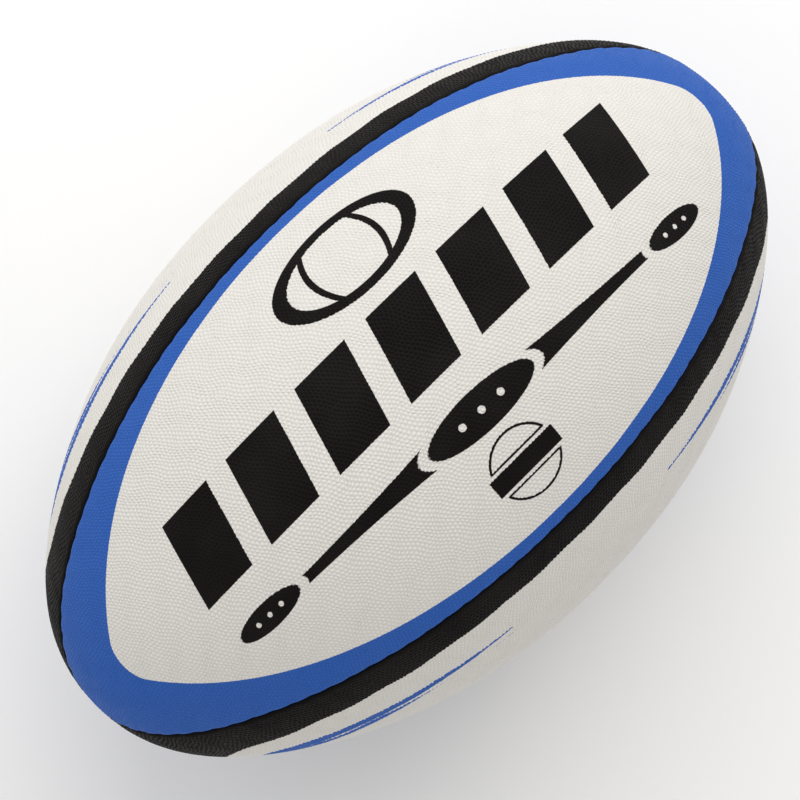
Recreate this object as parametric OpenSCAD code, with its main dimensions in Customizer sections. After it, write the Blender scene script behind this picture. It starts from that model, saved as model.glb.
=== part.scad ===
// Four-panel hand-stitched rugby ball, lying on its side.
// +X runs along the ball to one tip, +Z up through the middle of the top panel.
// The origin is the ball's centre. All sizes are in millimetres.

/* [Ball] */
// Length from tip to tip
ball_l = 300; // [280:1:300]
// Distance across the middle, from panel to panel
ball_d = 183; // [180:0.5:196]
// How far beyond the ball's axis each panel's curve across is centred, which leaves a low ridge at the seams
panel_offset = 4; // [1:0.5:8]
// How far the ends are drawn in from a plain ellipse
end_taper = 0.52; // [0:0.01:0.6]
// How much of that drawing-in is let off again at the tips
tip_round = 1.1; // [0.5:0.01:1.2]

/* [Panels] */
// Thickness of the moulded rubber skin
skin_t = 0.9; // [0.6:0.1:1.2]
// Thickness of one fabric ply
ply_t = 0.4; // [0.2:0.05:0.5]
// How deep the panels' edges turn in along a seam
lip_depth = 5; // [4:0.5:6]
// Width of the groove along a seam
groove_w = 1.6; // [1:0.1:2]
// Depth of that groove
groove_depth = 0.45; // [0.2:0.05:0.5]

/* [Stitching] */
// Distance from one stitch to the next
stitch_pitch = 7; // [6:0.5:10]
// Diameter of the waxed thread
thread_d = 1.2; // [0.8:0.1:1.4]
// Depth of the stitches below the ball's surface
stitch_depth = 3.2; // [2.8:0.1:3.6]
// Distance along the seam from a tip to the first stitch
stitch_start = 16; // [14:1:30]

/* [Bladder] */
// Thickness of the bladder's wall
bladder_t = 0.7; // [0.5:0.1:1.2]
// Gap between the fabric and the bladder
bladder_gap = 0.4; // [0.2:0.1:1]

/* [Valve] */
// Diameter of the valve's stem where it shows in the seam
stem_d = 6.8; // [6:0.1:9]
// Diameter of the valve's flange on the bladder
flange_d = 24; // [20:1:28]
// Thickness of that flange
flange_t = 1.4; // [1:0.1:2]
// Thickness of the patch over the flange
patch_t = 0.4; // [0.3:0.1:0.8]
// How far the patch reaches past the flange
patch_lap = 2.5; // [1:0.5:4]
// Diameter of the soft core in the valve
core_d = 4.4; // [4:0.1:5]
// Diameter of the core's inner head
core_head_d = 5.6; // [5.2:0.1:6]
// Height of that head
core_head_h = 1.2; // [0.8:0.1:2]
// Diameter of the channel for an inflating needle
needle_d = 2.3; // [2.1:0.1:2.6]
// Length of the valve along its axis
valve_l = 14; // [12:0.5:18]
// How far the valve's face sits below the ball's surface
valve_recess = 0.5; // [0.3:0.1:1]

/* [Hidden] */

half_l = ball_l / 2;
mid_r = ball_d / 2;
// Turn about the long axis that brings the top panel to each panel's place: top, right, bottom, left.
PANEL_TURN = [0, 90, 180, 270];
// Turn that brings +Z to each seam. Seam n lies between panel n and the panel after it.
SEAM_TURN = [45, 135, 225, 315];
VALVE_SEAM = 1;
// Straight facets along half of the ball's outline: an odd number, so that the valve comes in the middle of one.
outline_steps = 37;
round_fn = 96;
thread_fn = 24;
// Radial clearance of a thread in its hole, and of the stem in the seam.
thread_clear = 0.05;
stem_clear = 0.1;
// How far a cutting shape runs past what it cuts.
beyond = 20;
laminate_t = skin_t + 3 * ply_t;
// Clearance between the bladder's parts and the lips and stitches.
lip_gap = 0.2;
// Half-width and depth of the space along a seam that the lips and the stitches fill.
lip_half_w = laminate_t + thread_d + lip_gap;
lip_space_depth = lip_depth + lip_gap;
stem_hole_d = stem_d + 2 * stem_clear;
seam_r = seam_point(90, 0)[1];
valve_top_z = seam_r - valve_recess;
valve_base_z = valve_top_z - valve_l;
patch_top_z = seam_r - lip_space_depth;
flange_top_z = patch_top_z - patch_t;
flange_floor_z = flange_top_z - flange_t;
pocket_r = flange_d / 2 + patch_lap + lip_gap;

// Point on the ball's outline, u degrees round from the +X tip: [distance along, radius].
function surface_point(u) =
    let (c = cos(u))
    [half_l * c, mid_r * sin(u) * sqrt(1 - end_taper * c ^ 4 * (1 - tip_round * c ^ 2))];

// Direction along the outline there, as a unit vector.
function tangent(u) =
    let (step = 0.05, d = surface_point(u + step) - surface_point(u - step))
    d / norm(d);

// The same point moved inward by depth, square to the outline.
function inner_point(u, depth) =
    let (d = tangent(u))
    surface_point(u) + depth * [-d[1], d[0]];

// Outline of a panel at a depth below its surface, as [distance from the panel's own axis, distance along].
function panel_outline(depth) = concat(
    [[0, half_l - depth]],
    [
        for (i = [0 : outline_steps])
            let (p = inner_point(180 * i / outline_steps, depth))
            [panel_offset + p[1], p[0]]
    ],
    [[0, depth - half_l]]
);

// The point at that depth where two panels meet: [distance along, distance from the ball's axis].
function seam_point(u, depth) =
    let (p = inner_point(u, depth), across = panel_offset / sqrt(2))
    [p[0], sqrt((p[1] + panel_offset) ^ 2 - across ^ 2) - across];

// Arc length along the line of the stitches, paired with u, from the +X tip to the other.
arc_steps = 180;
function seam_arc(i = 0, length = 0) =
    i > arc_steps ? []
    : concat([[length, i * 180 / arc_steps]],
        seam_arc(i + 1, length + norm(seam_point((i + 1) * 180 / arc_steps, stitch_depth)
            - seam_point(i * 180 / arc_steps, stitch_depth))));
SEAM_ARC = seam_arc();
seam_l = SEAM_ARC[arc_steps][0];
// How far the stitches stand to one side of the seam's middle, so that no hole crosses the ball's middle plane.
stitch_shift = 0.75 * thread_d;
stitch_gaps = floor((seam_l / 2 - stitch_start - stitch_shift) / stitch_pitch) * 2;
// Angles u of the stitches, evenly spaced along the seam.
STITCHES = [
    for (i = [0 : stitch_gaps])
        lookup(seam_l / 2 + stitch_shift + (i - stitch_gaps / 2) * stitch_pitch, SEAM_ARC)
];
// A stitch that the valve's stem would cut is left out of its seam.
function meets_valve(seam, u) =
    seam == VALVE_SEAM && abs(surface_point(u)[0]) < (stem_hole_d + thread_d) / 2;

// Solid turned about the top panel's own axis, whose surface is that panel's at a depth.
module panel_form(depth) {
    translate([0, 0, -panel_offset])
        rotate([0, 90, 0])
            rotate_extrude($fn = round_fn)
                polygon(panel_outline(depth));
}

// The whole ball at a depth below its surface: what all four panels' forms share.
module ball_form(depth) {
    intersection_for (turn = PANEL_TURN)
        rotate([turn, 0, 0]) panel_form(depth);
}

// The quarter of space above both seam planes, and at least inset from each.
module quarter(inset) {
    top = mid_r + beyond;
    rotate([90, 0, 90])
        linear_extrude(ball_l + beyond, center = true)
            polygon([[0, inset * sqrt(2)], [top, top + inset * sqrt(2)], [-top, top + inset * sqrt(2)]]);
}

// A slab of the given thickness in each seam's plane.
module seam_slabs(thickness) {
    for (turn = [-45, 45])
        rotate([turn, 0, 0])
            cube([ball_l + beyond, thickness, ball_d + beyond], center = true);
}

// A straight thread of the given length and diameter.
module thread(length, d) {
    cylinder(h = length, d = d, center = true, $fn = thread_fn);
}

// Puts its children at the stitch that lies at angle u: X along the seam, Y across it.
module at_stitch(u) {
    p = seam_point(u, stitch_depth);
    d = tangent(u);
    translate([p[0], 0, p[1]]) rotate([0, -atan2(d[1], d[0]), 0]) children();
}

// The thread that crosses both lips at every stitch of a seam.
module seam_crossings(seam, length, d) {
    for (u = STITCHES)
        if (!meets_valve(seam, u))
            at_stitch(u) rotate([90, 0, 0]) thread(length, d);
}

// One layer of a panel: its face, and the lips that it turns in along both seams.
module layer(panel, depth, thickness, tone) {
    color(tone)
        difference() {
            rotate([PANEL_TURN[panel], 0, 0])
                difference() {
                    intersection() {
                        difference() {
                            panel_form(depth);
                            valve_hole(panel);
                        }
                        quarter(depth);
                    }
                    intersection() {
                        panel_form(depth + thickness);
                        quarter(depth + thickness);
                    }
                    panel_form(lip_depth);
                    if (depth == 0)
                        difference() {
                            seam_slabs(groove_w);
                            panel_form(groove_depth);
                        }
                }
            for (seam = [panel, (panel + 3) % 4])
                rotate([SEAM_TURN[seam], 0, 0])
                    seam_crossings(seam, 2 * lip_half_w, thread_d + 2 * thread_clear);
        }
}

// The hole for the valve's stem in a panel that has it in a seam, in the top panel's place.
module valve_hole(panel) {
    if (panel == VALVE_SEAM || panel == VALVE_SEAM + 1)
        rotate([SEAM_TURN[VALVE_SEAM] - PANEL_TURN[panel], 0, 0])
            translate([0, 0, mid_r / 2])
                cylinder(h = mid_r, d = stem_hole_d, $fn = round_fn);
}

module skin(panel) {
    layer(panel, 0, skin_t, "white");
}

module ply(panel, number) {
    layer(panel, skin_t + (number - 1) * ply_t, ply_t, "linen");
}

// The stitches of one seam: each crosses the lips and lies along both of their inner faces.
module seam_thread(seam) {
    color("dimgray")
        rotate([SEAM_TURN[seam], 0, 0]) {
            for (u = STITCHES)
                if (!meets_valve(seam, u))
                    at_stitch(u) {
                        rotate([90, 0, 0]) thread(2 * laminate_t + thread_d, thread_d);
                        for (side = [-1, 1])
                            translate([0, side * (laminate_t + thread_d / 2), 0])
                                rotate([0, 90, 0]) thread(stitch_pitch - thread_d, thread_d);
                    }
        }
}

// The bladder's shape, drawn in by inset from the outside of its wall.
module bladder_form(inset) {
    difference() {
        ball_form(laminate_t + bladder_gap + inset);
        difference() {
            seam_slabs(2 * (lip_half_w + inset));
            ball_form(lip_space_depth + inset);
        }
        rotate([SEAM_TURN[VALVE_SEAM], 0, 0])
            translate([0, 0, flange_floor_z - inset])
                cylinder(h = mid_r, r = pocket_r + inset, $fn = round_fn);
    }
}

module bladder() {
    color("saddlebrown")
        difference() {
            bladder_form(0);
            bladder_form(bladder_t);
            rotate([SEAM_TURN[VALVE_SEAM], 0, 0])
                translate([0, 0, valve_base_z - beyond])
                    cylinder(h = mid_r, d = stem_d, $fn = round_fn);
        }
}

module at_valve() {
    rotate([SEAM_TURN[VALVE_SEAM], 0, 0])
        translate([0, 0, valve_base_z])
            children();
}

// Stem and flange, with the seat for the core through it.
module valve_body() {
    flange_z = flange_floor_z - valve_base_z;
    color("black")
        at_valve()
            difference() {
                union() {
                    cylinder(h = valve_l, d = stem_d, $fn = round_fn);
                    translate([0, 0, flange_z]) cylinder(h = flange_t, d = flange_d, $fn = round_fn);
                }
                cylinder(h = 3 * valve_l, d = core_d, center = true, $fn = round_fn);
                cylinder(h = 2 * core_head_h, d = core_head_d, center = true, $fn = round_fn);
            }
}

// Soft plug that closes on the needle, held in by its wider inner head.
module valve_core() {
    color("gray")
        at_valve()
            difference() {
                union() {
                    cylinder(h = valve_l, d = core_d, $fn = round_fn);
                    cylinder(h = core_head_h, d = core_head_d, $fn = round_fn);
                }
                cylinder(h = 3 * valve_l, d = needle_d, center = true, $fn = round_fn);
            }
}

// Rubber patch that laps over the flange onto the bladder.
module valve_patch() {
    color("brown")
        rotate([SEAM_TURN[VALVE_SEAM], 0, 0])
            translate([0, 0, flange_floor_z])
                difference() {
                    cylinder(h = flange_t + patch_t, r = flange_d / 2 + patch_lap, $fn = round_fn);
                    cylinder(h = 2 * flange_t, d = flange_d, center = true, $fn = round_fn);
                    cylinder(h = mid_r, d = stem_d, center = true, $fn = round_fn);
                }
}

skin(0);  // top_skin
skin(1);  // right_skin
skin(2);  // bottom_skin
skin(3);  // left_skin
ply(0, 1);  // top_ply_1
ply(1, 1);  // right_ply_1
ply(2, 1);  // bottom_ply_1
ply(3, 1);  // left_ply_1
ply(0, 2);  // top_ply_2
ply(1, 2);  // right_ply_2
ply(2, 2);  // bottom_ply_2
ply(3, 2);  // left_ply_2
ply(0, 3);  // top_ply_3
ply(1, 3);  // right_ply_3
ply(2, 3);  // bottom_ply_3
ply(3, 3);  // left_ply_3
seam_thread(0);  // top_right_thread
seam_thread(1);  // bottom_right_thread
seam_thread(2);  // bottom_left_thread
seam_thread(3);  // top_left_thread
bladder();
valve_body();
valve_core();
valve_patch();
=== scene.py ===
import math

import bpy
import numpy as np
from mathutils import Matrix, Vector
from mathutils.geometry import delaunay_2d_cdt


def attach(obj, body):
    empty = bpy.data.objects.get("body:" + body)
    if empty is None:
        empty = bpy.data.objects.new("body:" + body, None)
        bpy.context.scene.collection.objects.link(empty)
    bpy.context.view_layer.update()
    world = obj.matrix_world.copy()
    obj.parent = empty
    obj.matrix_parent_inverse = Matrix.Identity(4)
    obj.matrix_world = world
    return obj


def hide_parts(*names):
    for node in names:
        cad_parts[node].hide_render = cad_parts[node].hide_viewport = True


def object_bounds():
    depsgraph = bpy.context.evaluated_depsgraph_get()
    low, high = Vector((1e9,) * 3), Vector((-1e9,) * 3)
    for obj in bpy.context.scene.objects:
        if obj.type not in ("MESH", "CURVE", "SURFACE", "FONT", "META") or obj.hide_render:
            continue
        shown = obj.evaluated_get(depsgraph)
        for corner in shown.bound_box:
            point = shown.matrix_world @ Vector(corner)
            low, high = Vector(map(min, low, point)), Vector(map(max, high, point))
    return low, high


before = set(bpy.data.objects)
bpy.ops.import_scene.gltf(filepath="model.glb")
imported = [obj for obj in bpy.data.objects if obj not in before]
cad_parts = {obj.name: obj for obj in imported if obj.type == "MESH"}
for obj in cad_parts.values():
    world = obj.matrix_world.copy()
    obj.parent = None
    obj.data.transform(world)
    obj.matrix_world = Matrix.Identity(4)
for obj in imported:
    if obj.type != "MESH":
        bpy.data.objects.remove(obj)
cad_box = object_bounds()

# ---------------------------------------------------------------------------------------------
# Bladder. A seamless bag of dipped brown butyl rubber, blown up inside the four panels.
# It is dusted with talc so that it doesn't stick to the fabric while the ball is closed up.
# ---------------------------------------------------------------------------------------------


class Reading:
    """A value in a finish's node tree. Arithmetic on it adds one Math node for each step."""

    def __init__(self, finish, socket):
        self.finish = finish
        self.socket = socket

    def maths(self, operation, *values):
        return self.finish.node("ShaderNodeMath", {"operation": operation}, dict(enumerate(values)))

    def __add__(self, other):
        return self.maths("ADD", self, other)

    __radd__ = __add__

    def __sub__(self, other):
        return self.maths("SUBTRACT", self, other)

    def __rsub__(self, other):
        return self.maths("SUBTRACT", other, self)

    def __mul__(self, other):
        return self.maths("MULTIPLY", self, other)

    __rmul__ = __mul__

    def __truediv__(self, other):
        return self.maths("DIVIDE", self, other)

    def __abs__(self):
        return self.maths("ABSOLUTE", self)

    def __rtruediv__(self, other):
        return self.maths("DIVIDE", other, self)

    def __pow__(self, power):
        return self.maths("POWER", self, power)

    def sine(self):
        return self.maths("SINE", self)

    def cosine(self):
        return self.maths("COSINE", self)

    def least(self, other):
        return self.maths("MINIMUM", self, other)

    def most(self, other):
        return self.maths("MAXIMUM", self, other)

    def above(self, other):
        return self.maths("GREATER_THAN", self, other)

    def part_of_step(self):
        return self.maths("FRACT", self)

    def rise(self, start, end):
        """0 up to start and 1 from end on, with a smooth slope between."""
        settings = {"interpolation_type": "SMOOTHSTEP"}
        return self.finish.node("ShaderNodeMapRange", settings, {0: self, 1: start, 2: end, 3: 0.0, 4: 1.0})


class Finish:
    """One material: its Principled shader, and the nodes that feed it."""

    def __init__(self, name, **constants):
        self.material = bpy.data.materials.new(name)
        self.material.use_nodes = True
        self.tree = self.material.node_tree
        self.shader = self.tree.nodes["Principled BSDF"]
        for socket, value in constants.items():
            self.shader.inputs[socket.replace("_", " ")].default_value = value

    def node(self, kind, settings, sockets, out=0):
        """A node of that kind: its settings first, then a value or a link for each of its sockets."""
        made = self.tree.nodes.new(kind)
        for name, value in settings.items():
            setattr(made, name, value)
        for key, value in sockets.items():
            if isinstance(value, Reading):
                self.tree.links.new(value.socket, made.inputs[key])
            else:
                made.inputs[key].default_value = value
        return Reading(self, made.outputs[out])

    def parts(self, vector):
        """The three numbers of a vector."""
        first = self.node("ShaderNodeSeparateXYZ", {}, {0: vector})
        outputs = first.socket.node.outputs
        return [Reading(self, outputs[k]) for k in range(3)]

    def vector(self, x, y, z=0.0):
        return self.node("ShaderNodeCombineXYZ", {}, {0: x, 1: y, 2: z})

    def object_place(self):
        """The place on the piece in object coordinates, in metres."""
        return self.node("ShaderNodeTexCoord", {}, {}, "Object")

    def stored(self, name):
        """A vector that the mesh holds at each of its points."""
        return self.node("ShaderNodeAttribute", {"attribute_name": name}, {}, "Vector")

    def cloud(self, place, scale, detail=2.0, roughness=0.5):
        """Smooth noise from 0 to 1, with that many cells a unit of place."""
        values = {"Vector": place, "Scale": scale, "Detail": detail, "Roughness": roughness}
        return self.node("ShaderNodeTexNoise", {}, values)

    def blend(self, factor, first, second):
        """The first colour where factor is 0, and the second where it is 1."""
        values = {0: factor, 6: first, 7: second}
        return self.node("ShaderNodeMix", {"data_type": "RGBA"}, values, 2)

    def paint(self, socket, value):
        self.tree.links.new(value.socket, self.shader.inputs[socket])

    def relief(self, height, distance):
        """Lifts the surface by height times distance, in metres, through the shader's normal."""
        self.paint("Normal", self.node("ShaderNodeBump", {}, {"Height": height, "Distance": distance}))


def coat(name, finish):
    """Gives a carried-over node its finish."""
    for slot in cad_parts[name].material_slots:
        slot.material = finish.material


butyl = Finish("butyl_bladder", Specular_IOR_Level=0.45)
butyl_place = butyl.object_place()
butyl_flow = butyl.cloud(butyl_place, 22.0, 4.0)
butyl_talc = butyl.cloud(butyl_place, 160.0, 3.0, 0.7).rise(0.52, 0.74)
butyl_brown = butyl.blend(butyl_flow, (0.085, 0.030, 0.016, 1), (0.135, 0.052, 0.028, 1))
butyl.paint("Base Color", butyl.blend(butyl_talc * 0.35, butyl_brown, (0.50, 0.46, 0.42, 1)))
butyl.paint("Roughness", 0.42 + 0.35 * butyl_talc)
butyl.relief(butyl_flow + 0.3 * butyl_talc, 0.0002)
coat("bladder", butyl)

# ---------------------------------------------------------------------------------------------
# Valve and its patch. A moulded black rubber stem on a round flange, with a soft grey core.
# The flange is vulcanised to the bladder under a reddish patch; the stem stands in a seam.
# ---------------------------------------------------------------------------------------------

for valve_node, valve_name, dark, light, rough in (
    ("valve_body", "valve_rubber", (0.006, 0.006, 0.007, 1), (0.020, 0.020, 0.021, 1), 0.42),
    ("valve_core", "valve_core_rubber", (0.050, 0.050, 0.053, 1), (0.105, 0.105, 0.110, 1), 0.60),
    ("valve_patch", "patch_rubber", (0.110, 0.026, 0.014, 1), (0.185, 0.055, 0.030, 1), 0.66),
):
    rubber = Finish(valve_name)
    rubber_place = rubber.object_place()
    rubber_cloud = rubber.cloud(rubber_place, 260.0, 4.0, 0.6)
    rubber_dust = rubber.cloud(rubber_place, 900.0, 2.0).rise(0.60, 0.78)
    rubber_body = rubber.blend(rubber_cloud, dark, light)
    rubber.paint("Base Color", rubber.blend(rubber_dust * 0.18, rubber_body, (0.42, 0.40, 0.38, 1)))
    rubber.paint("Roughness", rough + 0.2 * rubber_dust)
    rubber.relief(rubber_cloud, 0.00008)
    coat(valve_node, rubber)

# ---------------------------------------------------------------------------------------------
# Carcass. Three plies of plain-woven polyester and cotton behind each skin, bonded with latex.
# The weave runs along and across the ball; the plies are turned in with the skin at each seam.
# ---------------------------------------------------------------------------------------------

PANEL_NAMES = ("top", "right", "bottom", "left")
YARN_STEP = 0.0007
TURNS_PER_METRE = 2 * math.pi / YARN_STEP

# Each ply has a dark colour, used both as painted shade between the yarns and for its real latex, and a lit
# colour for the yarns' crowns.
for ply, (ply_latex_and_shade, ply_lit) in enumerate(
    (
        ((0.52, 0.47, 0.36, 1), (0.76, 0.71, 0.58, 1)),
        ((0.48, 0.44, 0.35, 1), (0.72, 0.68, 0.57, 1)),
        ((0.45, 0.40, 0.31, 1), (0.70, 0.65, 0.53, 1)),
    ),
    start=1,
):
    cloth = Finish(f"woven_ply_{ply}", Specular_IOR_Level=0.25)
    cloth_x, cloth_y, cloth_z = cloth.parts(cloth.object_place())
    around = 0.09 * cloth.node("ShaderNodeMath", {"operation": "ARCTAN2"}, {0: cloth_y, 1: cloth_z})
    warp_yarn = (cloth_x * (TURNS_PER_METRE / 2)).sine()
    weft_yarn = (around * (TURNS_PER_METRE / 2)).sine()
    over_under = (warp_yarn * weft_yarn).rise(-0.12, 0.12)
    warp_round = abs((around * (TURNS_PER_METRE / 2)).cosine())
    weft_round = abs((cloth_x * (TURNS_PER_METRE / 2)).cosine())
    yarn_height = over_under * (1 - warp_round) + (1 - over_under) * (1 - weft_round)
    cloth_latex = cloth.cloud(cloth.object_place(), 45.0, 4.0, 0.6)
    # Painted shade and light: the cloth is darker down between the yarns and lighter on their crowns.
    cloth_yarn_shaded = cloth.blend(yarn_height.rise(0.0, 0.8), ply_latex_and_shade, ply_lit)
    cloth.paint("Base Color", cloth.blend(cloth_latex.rise(0.45, 0.75) * 0.5, cloth_yarn_shaded, ply_latex_and_shade))
    cloth.paint("Roughness", 0.88 - 0.25 * cloth_latex)
    cloth.relief(yarn_height, 0.00012)
    for panel_name in PANEL_NAMES:
        coat(f"{panel_name}_ply_{ply}", cloth)

# ---------------------------------------------------------------------------------------------
# Skins. Four lens-shaped panels of moulded rubber, just under 1 mm thick and covered with round
# pimples for grip. Each is printed flat, and its edges are turned in and stitched to the next.
# All sizes here are in millimetres until the mesh is written.
# ---------------------------------------------------------------------------------------------

HALF_LENGTH = 150.0
MIDDLE_RADIUS = 91.5
PANEL_OFFSET = 4.0
END_TAPER = 0.52
TIP_ROUND = 1.1
SKIN_T = 0.78
LIP_DEPTH = 4.5
EDGE_ROLL = 1.6
END_GAP = 0.5
PIMPLE_PITCH = 1.4
PIMPLE_HEIGHT = 0.24
PIMPLE_TURN = math.radians(7)
SCATTER = 0.085
STITCH_PITCH = 7.0
STITCH_DEPTH = 3.2
STITCH_SHIFT = 0.9
LIP_GAP = 0.30
PUCKER_DIP = 0.30
PUCKER_REACH = 3.2
HEAVE_DIP = 0.055
HEAVE_REACH = 8.0
GAP_REACH = 2.0
VALVE_OPENING = 3.55
VALVE_REACH = 6
VALVE_SIDE = (0, -1, 1, 0)
MM = 0.001

round_angle = np.linspace(math.pi, 0, 8001)
cosine = np.cos(round_angle)
taper = 1 - END_TAPER * cosine**4 * (1 - TIP_ROUND * cosine**2)
line_x = HALF_LENGTH * cosine
line_r = MIDDLE_RADIUS * np.sin(round_angle) * np.sqrt(taper)
line_s = np.concatenate([[0], np.cumsum(np.hypot(np.diff(line_x), np.diff(line_r)))])
HALF_ARC = line_s[-1] / 2
line_s -= HALF_ARC


def unit_normal(x, r, s):
    """The outward normal of a line (x, r) of arc length s: its direction (dx, dr), turned to (-dr, dx)."""
    dx = np.gradient(x, s)
    dr = np.gradient(r, s)
    size = np.hypot(dx, dr)
    return -dr / size, dx / size


def at_seam(x, r):
    """Where two panels meet: each is round about an axis PANEL_OFFSET beyond the ball's own, so the seam's
    radius is sqrt((r + offset)^2 - offset^2 / 2) - offset / sqrt(2)."""
    across = PANEL_OFFSET / math.sqrt(2)
    return x, np.sqrt(np.maximum((r + PANEL_OFFSET) ** 2 - across**2, 0)) - across


line_nx, line_nr = unit_normal(line_x, line_r, line_s)
seam_x, seam_radius = at_seam(line_x, line_r)
seam_nx, seam_nr = unit_normal(seam_x, seam_radius, line_s)
stitch_x, stitch_r = at_seam(line_x - STITCH_DEPTH * line_nx, line_r - STITCH_DEPTH * line_nr)
stitch_arc = np.concatenate([[0], np.cumsum(np.hypot(np.diff(stitch_x), np.diff(stitch_r)))])
stitch_phase = (stitch_arc - stitch_arc[-1] / 2 + STITCH_SHIFT) / STITCH_PITCH


def along(s, values):
    """A value of the ball's outline at the arc length s from its middle."""
    return np.interp(s, line_s, values)


def half_width(s):
    """Half the panel's width at s: (r + offset) * (45 degrees - asin(offset / (sqrt 2 * (r + offset))))."""
    r = along(s, line_r) + PANEL_OFFSET
    return r * (math.pi / 4 - np.arcsin(PANEL_OFFSET / (math.sqrt(2) * r)))


def roll_radius(s):
    """The radius that the edge is rolled to: the same all along, but less where the panel is narrow."""
    return np.minimum(EDGE_ROLL, 0.8 * half_width(s))


def flat_border(s):
    """How far out the flat panel reaches at s: its half width, and the strip that is turned in."""
    return half_width(s) + LIP_DEPTH - (2 - math.pi / 2) * roll_radius(s)


def place_on_ball(s, q, raised, inner, valve_side):
    """The flat point (s along, q across) on the closed ball, for the panel that faces +Z.
    On the face it is (x, (r+o) sin a, (r+o) cos a - o) with a = q / (r+o) and o the panel's offset. Near the
    seam the sheet runs round a quarter circle of the roll's radius, and then straight down the seam's plane.
    The thread draws the edge in by a little at each stitch, and lets it open a little between stitches.
    On the side with the valve the edge stands back by sqrt(r^2 - s^2) from the stem, and its lip is cut
    short. The hidden inner face has no puckers."""
    half = half_width(s)
    roll = roll_radius(s)
    thick = np.minimum(SKIN_T, 0.5 * half) * inner
    edge = half - abs(q)
    turn = np.clip((roll - edge) / roll, 0, math.pi / 2)
    inset = np.where(edge > roll, edge, roll - (roll - thick) * np.sin(turn))
    sunk = np.where(edge > roll, thick, roll - (roll - thick) * np.cos(turn))
    sunk = sunk + np.maximum(roll - math.pi / 2 * roll - edge, 0)
    stem = np.sqrt(np.maximum(1 - (s / VALVE_OPENING) ** 2, 0)) * (np.sign(q) == valve_side)
    inset = inset + VALVE_OPENING * stem * np.exp(-np.maximum(edge, 0) / VALVE_REACH)
    sunk = sunk * (1 - 0.8 * stem * (edge < roll))
    pull = 0.5 + 0.5 * np.cos(2 * math.pi * along(s, stitch_phase))
    size = np.minimum(half / 12, 1)
    near = np.exp(-((np.maximum(edge, 0) / PUCKER_REACH) ** 2))
    wide = np.exp(-((np.maximum(edge, 0) / HEAVE_REACH) ** 2))
    heave = np.sin(s / 3.7 + 1.1 * np.sin(s / 17.0)) * np.sign(q) + np.sin(s / 6.1 + 2.0)
    sunk = sunk + (1 - inner) * size * (PUCKER_DIP * pull**1.4 * near + HEAVE_DIP * wide * (heave + 2))
    reach = along(s, line_r) + PANEL_OFFSET
    angle = np.sign(q) * np.maximum(half - inset, 0) / reach
    nx = along(s, line_nx)
    nr = along(s, line_nr)
    face = np.stack([along(s, line_x), reach * np.sin(angle), reach * np.cos(angle) - PANEL_OFFSET], -1)
    normal = np.stack([nx, nr * np.sin(angle), nr * np.cos(angle)], -1)
    side = np.sign(q) / math.sqrt(2)
    down = along(s, seam_nr)
    seam_normal = np.stack([along(s, seam_nx), down * side, down / math.sqrt(2)], -1)
    lean = (turn / (math.pi / 2)) ** 2
    normal = normal * (1 - lean)[:, None] + seam_normal * lean[:, None]
    normal /= np.linalg.norm(normal, axis=1)[:, None]
    beside = np.exp(-((np.maximum(edge, 0) / GAP_REACH) ** 2))
    open_up = 0.5 * LIP_GAP * (1 - inner) * (1 - 0.75 * pull) * size * beside
    aside = np.stack([0 * s, -side, 0 * s + 1 / math.sqrt(2)], -1) * open_up[:, None]
    return face + normal * (raised - sunk)[:, None] + aside


def lattice(reach, pitch, turn):
    """Points (i + j / 2, j * sqrt(3) / 2) * pitch, turned, and (i - j) mod 3 of each."""
    count = int(reach / pitch * 1.2)
    i, j = np.meshgrid(np.arange(-count, count), np.arange(-count, count), indexing="ij")
    x = ((i + 0.5 * j) * pitch).ravel()
    y = (j * (math.sqrt(3) / 2) * pitch).ravel()
    points = np.stack([x * math.cos(turn) - y * math.sin(turn), x * math.sin(turn) + y * math.cos(turn)], -1)
    return points, ((i - j) % 3).ravel()


def stretch(points):
    """How the mould's rows wander: each direction shifts by up to 1 mm in slow waves, and by less in waves
    of about 10 to 20 mm."""
    s, q = points[:, 0], points[:, 1]
    ds = 0.9 * np.sin(q / 12.5 + 0.6) + 0.30 * np.sin(s / 3.1 + q / 2.3) + 0.26 * np.sin(q / 1.9 - s / 4.1)
    dq = 0.9 * np.sin(s / 14.0 + 1.9) + 0.30 * np.sin(s / 2.7 - q / 3.3) + 0.26 * np.sin(s / 1.8 + q / 5.2)
    return np.stack([ds, dq], -1)


def triangulate(border, inside):
    """Joins the points inside a closed border into triangles that keep the border's own edges."""
    count = len(border)
    edges = np.stack([np.arange(count), (np.arange(count) + 1) % count], -1)
    points = np.concatenate([border, inside])
    joined = delaunay_2d_cdt(points.tolist(), edges.tolist(), [], 1, 1e-6)
    return points, np.array(joined[2])


def with_close_steps(values):
    """The values, with even steps of 0.4 mm in place of those near the valve."""
    close = np.linspace(-4.4, 4.4, 23)
    return np.sort(np.concatenate([values[abs(values) > 5.0], close]))


end_s = HALF_ARC - END_GAP
border_s = with_close_steps(np.linspace(-end_s, end_s, 2 * 155 + 1))
end_q = np.linspace(-1, 1, 9)[1:-1] * flat_border(np.array([end_s]))
border = np.concatenate(
    [
        np.stack([border_s, -flat_border(border_s)], -1),
        np.stack([0 * end_q + end_s, end_q], -1),
        np.stack([border_s, flat_border(border_s)], -1)[::-1],
        np.stack([0 * end_q - end_s, -end_q], -1),
    ]
)

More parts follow.
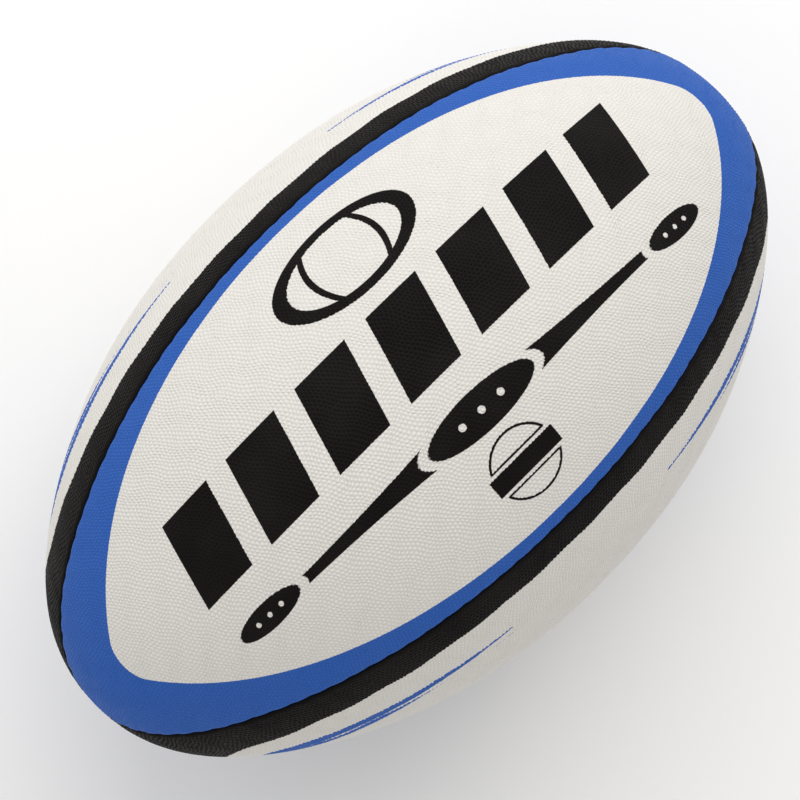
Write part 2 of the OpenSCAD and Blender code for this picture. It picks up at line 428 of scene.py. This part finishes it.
moulded, kind = lattice(HALF_ARC + 20, PIMPLE_PITCH / math.sqrt(3), PIMPLE_TURN - math.pi / 6)
scatter = np.random.default_rng(7).normal(0, SCATTER, moulded.shape)
drawn = moulded + stretch(moulded) + scatter
on_face = (abs(drawn[:, 0]) < end_s - 0.35) & (abs(drawn[:, 1]) < half_width(drawn[:, 0]) + 0.6)
drawn, moulded, kind = drawn[on_face], moulded[on_face], kind[on_face]
lip_s = with_close_steps(np.linspace(-end_s, end_s, 2 * 135 + 1)[1:-1])
lip_rows = [
    np.stack([lip_s, side * (half_width(lip_s) + deep * (flat_border(lip_s) - half_width(lip_s)))], -1)
    for side in (-1, 1)
    for deep in (0.33, 0.62)
]
lip_points = np.concatenate(lip_rows)
outer, outer_faces = triangulate(border, np.concatenate([drawn, lip_points]))
before = len(border)
mould_place = outer - stretch(outer)
mould_place[before : before + len(moulded)] = moulded
is_top = np.zeros(len(outer))
is_top[before : before + len(moulded)] = kind == 0
edge_distance = half_width(outer[:, 0]) - abs(outer[:, 1])
grip = np.clip((edge_distance - 0.2) / 2.2, 0, 1)
grip = grip * grip * (3 - 2 * grip)
raised = PIMPLE_HEIGHT * grip * (is_top - 1)

coarse, _ = lattice(HALF_ARC + 20, 4.5, 0.0)
on_back = (abs(coarse[:, 0]) < end_s - 1.5) & (abs(coarse[:, 1]) < half_width(coarse[:, 0]) - 3)
back_rows = [
    np.stack([lip_s, side * np.maximum(half_width(lip_s) - step * roll_radius(lip_s), 0.1)], -1)
    for side in (-1, 1)
    for step in (1.0, 0.3)
]
back_inside = np.concatenate([coarse[on_back], lip_points] + back_rows)
inner, inner_faces = triangulate(border, back_inside)

rim = np.arange(len(border))
rim_next = np.roll(rim, -1)
lift = len(outer)
rim_faces = np.concatenate(
    [np.stack([rim, rim + lift, rim_next + lift], -1), np.stack([rim, rim_next + lift, rim_next], -1)]
)
skin_faces = np.concatenate([outer_faces, inner_faces[:, ::-1] + lift, rim_faces])
skin_flat = np.concatenate([outer, inner])
skin_raised = np.concatenate([raised, np.zeros(len(inner))])
skin_inner = np.concatenate([np.zeros(len(outer)), np.ones(len(inner))])
skin_edge = half_width(skin_flat[:, 0]) - abs(skin_flat[:, 1])
skin_mould = np.concatenate([mould_place, inner - stretch(inner)])


def turned(points, quarter_turns):
    """Turned about the long axis by quarter turns of 90 degrees, from +Z towards -Y."""
    angle = math.radians(90) * quarter_turns
    y = points[:, 1] * math.cos(angle) - points[:, 2] * math.sin(angle)
    z = points[:, 1] * math.sin(angle) + points[:, 2] * math.cos(angle)
    return np.stack([points[:, 0], y, z], -1)


def make_piece(name, points, faces, finish, nodes, stored=()):
    """A mesh object of those points, in millimetres, that rides on the ball and stands for the nodes."""
    mesh = bpy.data.meshes.new(name)
    mesh.from_pydata((points * MM).tolist(), [], faces.tolist())
    for label, values in stored:
        mesh.attributes.new(label, "FLOAT_VECTOR", "POINT").data.foreach_set("vector", values.ravel())
    mesh.shade_smooth()
    mesh.materials.append(finish.material)
    piece = bpy.data.objects.new(name, mesh)
    bpy.context.scene.collection.objects.link(piece)
    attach(piece, "root")
    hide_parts(*nodes)
    return piece


# The second colour of each ink is painted light between the pimples: the white and the blue are darker there
# as painted shade, and the black is lighter there as a painted sheen.
WHITE = (0.82, 0.795, 0.755, 1)
WHITE_VALLEY_SHADE = (0.735, 0.71, 0.672, 1)
BLACK = (0.0052, 0.0043, 0.0042, 1)
BLACK_VALLEY_SHEEN = (0.0085, 0.0072, 0.0068, 1)
BLUE = (0.036, 0.130, 0.48, 1)
BLUE_VALLEY_SHADE = (0.031, 0.112, 0.44, 1)


class Print:
    """The flat panel as its printer sees it: s along and q across, in millimetres, and the pimples."""

    def __init__(self, name):
        self.finish = Finish(name, Specular_IOR_Level=0.05)
        finish = self.finish
        self.s, self.q, self.edge = finish.parts(finish.stored("flat"))
        mould_s, mould_q, self.pull = finish.parts(finish.stored("mould"))
        wave = 2 * math.pi / (PIMPLE_PITCH * math.sqrt(3) / 2)
        waves = [
            (mould_s * (wave * math.cos(turn)) + mould_q * (wave * math.sin(turn))).cosine()
            for turn in (PIMPLE_TURN + math.pi / 2, PIMPLE_TURN + math.pi * 5 / 6, PIMPLE_TURN + math.pi / 6)
        ]
        self.dome = 1 / 3 + (waves[0] + waves[1] + waves[2]) * (2 / 9)
        self.grip = self.edge.rise(0.2, 2.4)
        flat_place = finish.vector(self.s, self.q)
        self.patchy = finish.cloud(flat_place, 0.9, 2.0)
        self.slow = finish.cloud(flat_place, 0.035, 3.0)
        self.ragged = (self.dome - 0.45) * 0.12 + (self.patchy - 0.5) * 0.12

    def distance(self, x, y):
        return (x * x + y * y) ** 0.5

    def lens(self, length, width, rounding):
        """How far outside a lens of two arcs with rounded tips, from its half length, half width and
        the radius of its tips. Each arc's radius is (l^2 + w^2) / 2w, and past its end it is the tip."""
        tip = length - rounding
        belly = width - rounding
        radius = (tip * tip + belly * belly) / (2 * belly)
        s = abs(self.s)
        q = abs(self.q)
        past_tip = ((s - tip) * (radius - belly)).above(q * tip)
        from_tip = self.distance(s - tip, q)
        from_arc = self.distance(s, q + (radius - belly)) - radius
        return past_tip * from_tip + (1 - past_tip) * from_arc - rounding

    def inked(self, outside, soft=0.10):
        """1 inside a printed shape, whose edge is a little ragged over the pimples."""
        return 1 - (outside + self.ragged).rise(-soft, soft)

    def with_painted_valleys(self, colour, valley_light_colour):
        """An ink, with painted light down between the pimples: painted shade there for the white and the
        blue, and a painted sheen for the black.
        """
        return self.finish.blend(self.dome.rise(0.05, 0.55), valley_light_colour, colour)

    def done(self, colour, shine):
        """Sets the printed colour, with a painted shade along the seam's groove, the sheen and the relief of
        the pimples.
        """
        finish = self.finish
        worn = finish.blend(self.slow.rise(0.35, 0.75) * 0.012, colour, (0.45, 0.42, 0.38, 1))
        # Painted shade: near the seam the colour turns almost black, reaching further in at each stitch's
        # pull, where the groove lies in shade.
        groove_shade = 1 - (self.edge - 0.75 * self.pull * self.pull).rise(-0.35, 0.45)
        finish.paint("Base Color", finish.blend(groove_shade * 0.9, worn, (0.006, 0.006, 0.008, 1)))
        finish.paint("Roughness", shine + 0.10 * self.patchy - 0.06 * self.dome)
        finish.relief(self.dome * self.grip + 0.05 * self.patchy, PIMPLE_HEIGHT * MM)


face = Print("face_print")
BLUE_LENS = (144.0, 66.3, 12.0)
WORD_LEFT, WORD_RIGHT = -104.5, 106.0
WORD_MIDDLE, WORD_HALF = 6.6, 14.2
WORD_BLOCKS = 7
BLOCK_HALF = 10.6
BLOCK_LEAN = 0.30
block_step = (WORD_RIGHT - WORD_LEFT) / WORD_BLOCKS
block_q = face.q - WORD_MIDDLE
block_s = face.s - block_q * BLOCK_LEAN
block_part = ((block_s - WORD_LEFT) / block_step).part_of_step()
block_side = abs(block_part - 0.5) * block_step - BLOCK_HALF
block_row = abs(block_s - (WORD_LEFT + WORD_RIGHT) / 2) - (WORD_RIGHT - WORD_LEFT) / 2
blocks = block_side.most(abs(block_q) - WORD_HALF).most(block_row)

OVAL_S, OVAL_Q = 4.5, 41.0
OVAL_LENGTH, OVAL_WIDTH = 28.0, 14.5
oval_s = face.s - OVAL_S
oval_q = face.q - OVAL_Q
oval_size = face.distance(oval_s / OVAL_LENGTH, oval_q / OVAL_WIDTH)
oval_ring = abs(oval_size - 0.90) * OVAL_WIDTH - 1.5
oval_band = abs(abs(oval_s) - 13.5 + oval_q * oval_q * 0.030) - 1.1
oval_band = oval_band.most((oval_size - 0.90) * OVAL_WIDTH)
emblem = oval_ring.least(oval_band)

BAR_Q, BAR_SLOPE = -23.7, -0.017
bar_q = face.q - BAR_Q - face.s * BAR_SLOPE
bar_s = abs(face.s)
bar_half = 1.6 + 2.3 * ((84.0 - bar_s).most(0.0) / 60.0) ** 2
bar = (abs(bar_q) - bar_half).most(bar_s - 84.0)
middle_oval = (face.distance(bar_s / 21.6, bar_q / 6.6) - 1) * 6.6
end_oval = (face.distance((bar_s - 90.5) / 13.2, bar_q / 4.3) - 1) * 4.3
ovals = middle_oval.least(end_oval)
bar = bar.most(1.25 - ovals).least(ovals)
dot_s = abs(abs(bar_s - 4.0) - 4.0)
middle_dots = face.distance(dot_s, bar_q) - 1.25
end_dots = face.distance(abs(abs(bar_s - 90.5) - 2.6) - 2.6, bar_q) - 0.85
dots = middle_dots.least(end_dots)

BADGE_S, BADGE_Q = -0.4, -45.7
BADGE_RADIUS = 11.9
badge_s = face.s - BADGE_S
badge_q = abs(face.q - BADGE_Q)
badge_out = face.distance(badge_s, badge_q) - BADGE_RADIUS
badge_ring = (abs(badge_out) - 0.42).most(4.6 - badge_q)
badge_band = (badge_q - 3.3).most(abs(badge_s) - 13.2)
badge_chord = (abs(badge_q - 4.8) - 0.35).most(badge_out)
badge = badge_ring.least(badge_band).least(badge_chord)

black_ink = face.inked(blocks.least(emblem).least(bar).least(badge)) * (1 - face.inked(dots))
blue_ink = 1 - face.inked(face.lens(*BLUE_LENS))
face_white = face.with_painted_valleys(WHITE, WHITE_VALLEY_SHADE)
face_colour = face.finish.blend(blue_ink, face_white, face.with_painted_valleys(BLUE, BLUE_VALLEY_SHADE))
face_colour = face.finish.blend(black_ink, face_colour, face.with_painted_valleys(BLACK, BLACK_VALLEY_SHEEN))
face.done(face_colour, 0.42)

flank = Print("flank_print")
BLACK_LENS = (143.6, 62.0, 28.0)
flank_wave = 0.28 * (flank.s / 3.8 + 1.3 * flank.slow).sine() + 0.7 * (flank.slow - 0.5)
flank_out = flank.lens(*BLACK_LENS)
flank_black = 1 - flank.inked(flank_out + flank_wave, 0.14)
far = abs(flank.s)
bristle = flank.finish.cloud(flank.finish.vector(flank.s * 0.05, flank_out * 1.6), 1.0, 3.0, 0.6)
broken = (bristle - 0.5) * 1.3 + (flank.patchy - 0.5) * 0.8 + (flank.dome - 0.45) * 0.30
outer_half = 0.35 + 1.25 * far.rise(36.0, 76.0) + 0.6 * far.rise(76.0, 98.0) + 0.9 * far.rise(101.0, 112.0)
outer_stroke = abs(flank_out + 14.8) - outer_half
inner_half = 1.8 * far.rise(62.0, 92.0) + 0.8 * far.rise(101.0, 112.0) - 0.2
inner_stroke = abs(flank_out + 18.6 + 1.6 * far.rise(88.0, 106.0)) - inner_half
strokes = (outer_stroke.least(inner_stroke) + broken).most(36.0 - far)
flank_blue = flank.inked(strokes, 0.10)
flank_white = flank.with_painted_valleys(WHITE, WHITE_VALLEY_SHADE)
flank_colour = flank.finish.blend(flank_blue, flank_white, flank.with_painted_valleys(BLUE, BLUE_VALLEY_SHADE))
flank_colour = flank.finish.blend(flank_black, flank_colour, flank.with_painted_valleys(BLACK, BLACK_VALLEY_SHEEN))
flank.done(flank_colour, 0.42)

flat_place = np.stack([skin_flat[:, 0], skin_flat[:, 1], skin_edge], -1)
skin_pull = 0.5 + 0.5 * np.cos(2 * math.pi * along(skin_flat[:, 0], stitch_phase))
mould_flat = np.stack([skin_mould[:, 0], skin_mould[:, 1], skin_pull], -1)
for panel, panel_name in enumerate(PANEL_NAMES):
    closed_up = place_on_ball(skin_flat[:, 0], skin_flat[:, 1], skin_raised, skin_inner, VALVE_SIDE[panel])
    make_piece(
        f"{panel_name}_panel",
        turned(closed_up, panel),
        skin_faces,
        (face, flank)[panel % 2].finish,
        [f"{panel_name}_skin"],
        (("flat", flat_place), ("mould", mould_flat)),
    )

# ---------------------------------------------------------------------------------------------
# Stitching. Two waxed polyester threads run along each seam and change sides at every hole.
# They are drawn tight from inside, so that only the crossings show, deep in the groove.
# ---------------------------------------------------------------------------------------------

THREAD_R = 0.42
THREAD_SIDES = 8
THREAD_STEP = 0.7
LAMINATE_T = 2.1
STITCH_COUNT = 49
SEAM_NAMES = ("top_right", "bottom_right", "bottom_left", "top_left")
VALVE_SEAM = 1

waxed = Finish("waxed_thread", Specular_IOR_Level=0.6)
twist, strand, _ = waxed.parts(waxed.stored("lay"))
waxed_ply = (twist * 6.2 + strand * (2 * math.pi)).sine()
waxed_fibre = (twist * 31.0 + strand * (10 * math.pi)).sine()
# Painted highlights: the black thread is coloured olive-brown over the crowns of its plies and paler brown on
# its fibres, with only the grooves between the plies left dark.
waxed_ply_lit = waxed.blend(waxed_ply.rise(-0.9, 0.5), (0.020, 0.017, 0.010, 1), (0.115, 0.098, 0.060, 1))
waxed.paint("Base Color", waxed.blend(waxed_fibre.rise(0.2, 1.0) * 0.4, waxed_ply_lit, (0.20, 0.175, 0.12, 1)))
waxed.paint("Roughness", 0.40 + 0.15 * waxed_fibre)
waxed.relief(waxed_ply + 0.15 * waxed_fibre, 0.00012)


def stitch_line(stitches, first_side):
    """Corners of one thread, as (phase along the seam, across it, depth): at each stitch it crosses from
    one side to the other at the holes' depth, rising a little between the lips, then runs to the next."""
    side = first_side * (-1.0) ** np.arange(len(stitches))
    reach = LAMINATE_T + THREAD_R
    across = side[:, None] * np.array([reach, reach, 1.2, 0.0, -1.2, -reach, -reach])
    steps = np.array([-0.30, -0.06, 0.0, 0.0, 0.0, 0.06, 0.30]) + 0.03 * side[:, None]
    depth = np.broadcast_to([3.2, 3.2, 2.7, 1.9, 2.7, 3.2, 3.2], across.shape)
    return np.stack([(stitches[:, None] + steps).ravel(), across.ravel(), depth.ravel()], -1)


def tube(path, radius, sides):
    """A round tube along a path, its frame found from the path's direction d and a fixed vector f: the
    ring at each point is p + radius * (cos t * (d x f) + sin t * d x (d x f)). Both ends are closed."""
    ahead = np.gradient(path, axis=0)
    ahead /= np.linalg.norm(ahead, axis=1)[:, None]
    fixed = np.array([0.31, 0.42, 0.85])
    one = np.cross(ahead, fixed)
    one /= np.linalg.norm(one, axis=1)[:, None]
    two = np.cross(ahead, one)
    t = np.arange(sides) / sides * 2 * math.pi
    ring = np.cos(t)[None, :, None] * one[:, None, :] + np.sin(t)[None, :, None] * two[:, None, :]
    points = (path[:, None, :] + radius * ring).reshape(-1, 3)
    rows = np.arange(len(path) - 1)[:, None] * sides
    near = np.arange(sides)[None, :]
    far_side = (near + 1) % sides
    quads = np.stack([rows + near, rows + far_side, rows + far_side + sides, rows + near + sides], -1)
    quads = quads.reshape(-1, 4)
    walls = np.concatenate([quads[:, [0, 1, 2]], quads[:, [0, 2, 3]]])
    fan = np.arange(1, sides - 1)
    last = (len(path) - 1) * sides
    start_cap = np.stack([0 * fan, fan + 1, fan], -1)
    end_cap = np.stack([0 * fan + last, fan + last, fan + 1 + last], -1)
    travelled = np.concatenate([[0], np.cumsum(np.linalg.norm(np.diff(path, axis=0), axis=1))])
    round_it = np.minimum(t, 2 * math.pi - t) / math.pi
    lay = np.stack([np.repeat(travelled, sides), np.tile(round_it, len(path))], -1)
    return points, np.concatenate([walls, start_cap, end_cap]), np.pad(lay, ((0, 0), (0, 1)))


def seam_place(phase, across, depth):
    """A point of the seam between the +Z panel and the next one: along it by stitch number, aside from its
    plane, and below the ball's surface."""
    s = np.interp(phase, stitch_phase, line_s)
    x = along(s, seam_x) - depth * along(s, seam_nx)
    r = along(s, seam_radius) - depth * along(s, seam_nr)
    return np.stack([x, (-r - across) / math.sqrt(2), (r - across) / math.sqrt(2)], -1)


all_stitches = np.arange(STITCH_COUNT) - STITCH_COUNT // 2
for seam, seam_name in enumerate(SEAM_NAMES):
    groups = [all_stitches.astype(float)]
    if seam == VALVE_SEAM:
        groups = [groups[0][all_stitches < 0], groups[0][all_stitches > 0]]
    made = []
    for stitches in groups:
        for first_side in (-1, 1):
            corners = stitch_line(stitches, first_side)
            spaced = seam_place(*corners.T)
            walked = np.concatenate([[0], np.cumsum(np.linalg.norm(np.diff(spaced, axis=0), axis=1))])
            fine = np.linspace(0, walked[-1], int(walked[-1] / THREAD_STEP))
            path = np.stack([np.interp(fine, walked, spaced[:, k]) for k in range(3)], -1)
            path[1:-1] = (path[:-2] + 2 * path[1:-1] + path[2:]) / 4
            made.append(tube(path, THREAD_R, THREAD_SIDES))
    starts = np.cumsum([0] + [len(points) for points, _, _ in made])
    thread_faces = np.concatenate([faces + start for (_, faces, _), start in zip(made, starts)])
    make_piece(
        f"{seam_name}_stitching",
        turned(np.concatenate([points for points, _, _ in made]), seam),
        thread_faces,
        waxed,
        [f"{seam_name}_thread"],
        (("lay", np.concatenate([lay for _, _, lay in made])),),
    )

# ---------------------------------------------------------------------------------------------
# Floor, light and camera. The ball lies on its side on a plain pale floor, lit softly from all
# round and a little more from its upper right, and is looked down on from above its top panel.
# ---------------------------------------------------------------------------------------------

FLOOR_Z = cad_box[0][2]
floor_mesh = bpy.data.meshes.new("floor")
floor_size = 4.0
floor_mesh.from_pydata(
    [(-floor_size, -floor_size, FLOOR_Z), (floor_size, -floor_size, FLOOR_Z),
     (floor_size, floor_size, FLOOR_Z), (-floor_size, floor_size, FLOOR_Z)], [], [(0, 1, 2, 3)]
)
floor = bpy.data.objects.new("floor", floor_mesh)
bpy.context.scene.collection.objects.link(floor)
pale = Finish("pale_floor", Base_Color=(0.97, 0.97, 0.97, 1), Roughness=0.9)
floor_mesh.materials.append(pale.material)

world = bpy.data.worlds.new("soft_room")
world.use_nodes = True
world.node_tree.nodes["Background"].inputs[0].default_value = (1, 0.992, 0.98, 1)
world.node_tree.nodes["Background"].inputs[1].default_value = 0.66
bpy.context.scene.world = world
bpy.context.scene.view_settings.view_transform = "Standard"

yaw = math.radians(7.26)
pitch = math.radians(-3.43)
roll = math.radians(0.13)
camera_x = Vector((math.cos(yaw), math.sin(yaw) * math.sin(pitch), math.sin(yaw) * math.cos(pitch)))
camera_y = Vector((0, math.cos(pitch), -math.sin(pitch)))
towards = Vector((-math.sin(yaw), math.cos(yaw) * math.sin(pitch), math.cos(yaw) * math.cos(pitch)))
lean = math.atan2(0.7031525, 0.7110388) - roll
right = camera_x * math.cos(lean) - camera_y * math.sin(lean)
up = camera_x * math.sin(lean) + camera_y * math.cos(lean)
CAMERA_AWAY = 0.6875

camera_data = bpy.data.cameras.new("camera")
camera_data.sensor_width = 36
camera_data.lens = 89.8
camera_data.shift_x = -0.0155
camera_data.shift_y = -0.0086
camera = bpy.data.objects.new("camera", camera_data)
bpy.context.scene.collection.objects.link(camera)
turn_matrix = np.array([right, up, towards]).T
camera.matrix_world = Matrix([[*turn_matrix[k], CAMERA_AWAY * towards[k]] for k in range(3)] + [[0, 0, 0, 1]])
bpy.context.scene.camera = camera


def soft_light(name, place, size, power, aim=(0.0, 0.0, 0.0)):
    """A square panel of light at a place, turned to its aim."""
    data = bpy.data.lights.new(name, "AREA")
    data.size = size
    data.energy = power
    lamp = bpy.data.objects.new(name, data)
    lamp.location = place
    lamp.rotation_euler = (Vector(aim) - Vector(place)).to_track_quat("-Z", "Y").to_euler()
    bpy.context.scene.collection.objects.link(lamp)


soft_light("key", right * 0.3 + up * 1.3 + towards * 1.1, 1.6, 15.5)
soft_light("fill", right * -1.0 + up * 1.0 + towards * 0.9, 1.4, 4.0)
